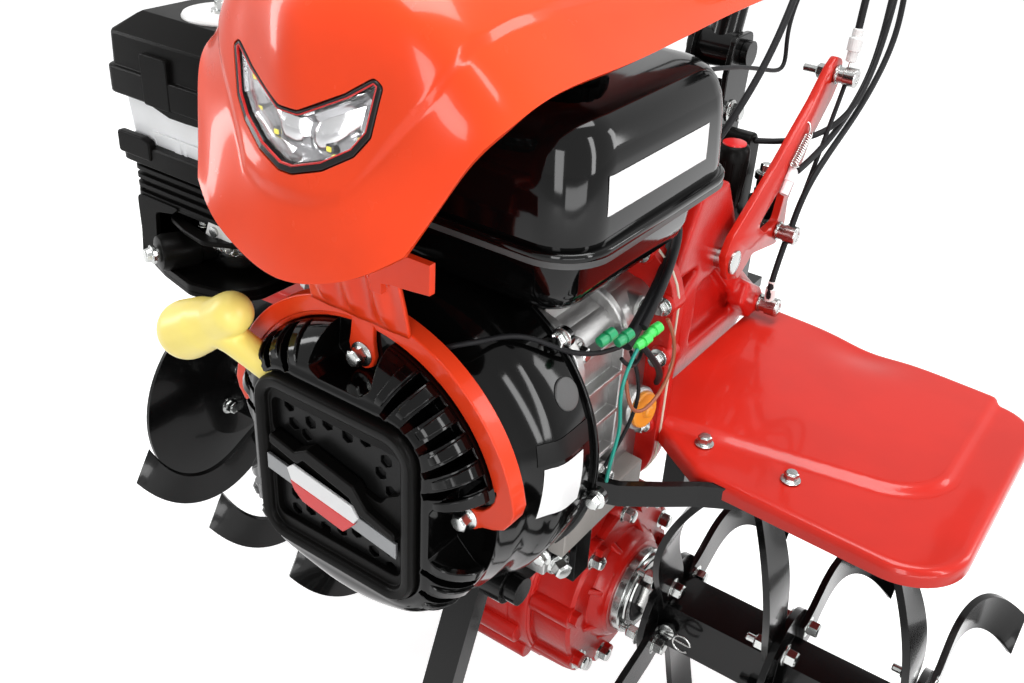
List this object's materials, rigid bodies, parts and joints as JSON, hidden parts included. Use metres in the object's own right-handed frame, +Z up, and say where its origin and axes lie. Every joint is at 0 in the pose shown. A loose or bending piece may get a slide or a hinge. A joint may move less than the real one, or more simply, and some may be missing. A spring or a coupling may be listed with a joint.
{
  "type": "rotary tiller",
  "caption": "Walk-behind petrol rotary tiller with tine rotors, fenders, front wheel and handlebar.",
  "frame": {"origin": "on the floor under the middle of the machine", "axes": "+Z up, -Y to the front (starter side), +X to the machine's left"},
  "size_m": [0.908, 1.303, 1.024],
  "materials": {
    "cast_aluminium": "satin",
    "gloss_black": "gloss",
    "matte_black": "matt",
    "red_paint": "gloss",
    "orange_bonnet": "gloss",
    "black_paint": "gloss",
    "zinc": "satin",
    "lamp": "gloss",
    "milky_bowl": "satin",
    "tyre": "matt",
    "grip_rubber": "matt",
    "yellow_grip": "satin",
    "fender_red": "gloss"
  },
  "bodies": {
    "machine": {"engine_block": "cast_aluminium", "fan_cover": "gloss_black", "recoil_starter": "matte_black", "guard_hoop": "orange_bonnet", "pull_handle": "yellow_grip", "fuel_tank": "gloss_black", "fuel_cap": "gloss_black", "headlamp": "lamp", "hood": "orange_bonnet", "hood_bracket": "orange_bonnet", "hood_strap": "black_paint", "air_cleaner_lid": "matte_black", "air_cleaner_bowl": "milky_bowl", "air_cleaner_base": "matte_black", "control_housing": "matte_black", "carburettor": "cast_aluminium", "muffler": "zinc", "exhaust_pipe": "zinc", "frame": "black_paint", "fender_stays": "black_paint", "gear_case": "red_paint", "axle_cover_left": "zinc", "axle_cover_right": "zinc", "gear_housing": "red_paint", "fender_left": "fender_red", "fender_right": "fender_red", "shift_lever": "matte_black", "clutch_lever": "fender_red", "handlebar_bracket": "black_paint", "hitch_box": "black_paint"},
    "tine_rotor": {"tine_axle": "zinc", "tine_rotor_left": "black_paint", "tine_rotor_right": "black_paint", "side_disc_left": "black_paint", "side_disc_right": "black_paint"},
    "front_wheel_arm": {"wheel_leg": "black_paint"},
    "front_wheel": {"front_tyre": "tyre", "front_rim": "zinc"},
    "handlebar_unit": {"handlebar": "black_paint", "hand_grips": "grip_rubber"},
    "depth_unit": {"depth_bar": "black_paint"}
  },
  "joints": [
    {"name": "tine_rotor_spin", "type": "hinge", "parent": "machine", "child": "tine_rotor", "pos_m": [0, -0.3045, 0.18], "axis": [1, 0, 0], "continuous": true},
    {"name": "front_wheel_arm_swing", "type": "hinge", "parent": "machine", "child": "front_wheel_arm", "pos_m": [0, -0.4825, 0.3], "axis": [-1, 0, 0], "range_deg": [0, 50]},
    {"name": "front_wheel_spin", "type": "hinge", "parent": "front_wheel_arm", "child": "front_wheel", "pos_m": [0, -0.5665, 0.085], "axis": [1, 0, 0], "continuous": true},
    {"name": "handlebar_height", "type": "hinge", "parent": "machine", "child": "handlebar_unit", "pos_m": [0, -0.0685, 0.632], "axis": [1, 0, 0], "range_deg": [-20, 5]},
    {"name": "depth_bar_slide", "type": "slide", "parent": "machine", "child": "depth_unit", "axis": [0, 0, 1], "range_m": [0, 0.12]}
  ]
}
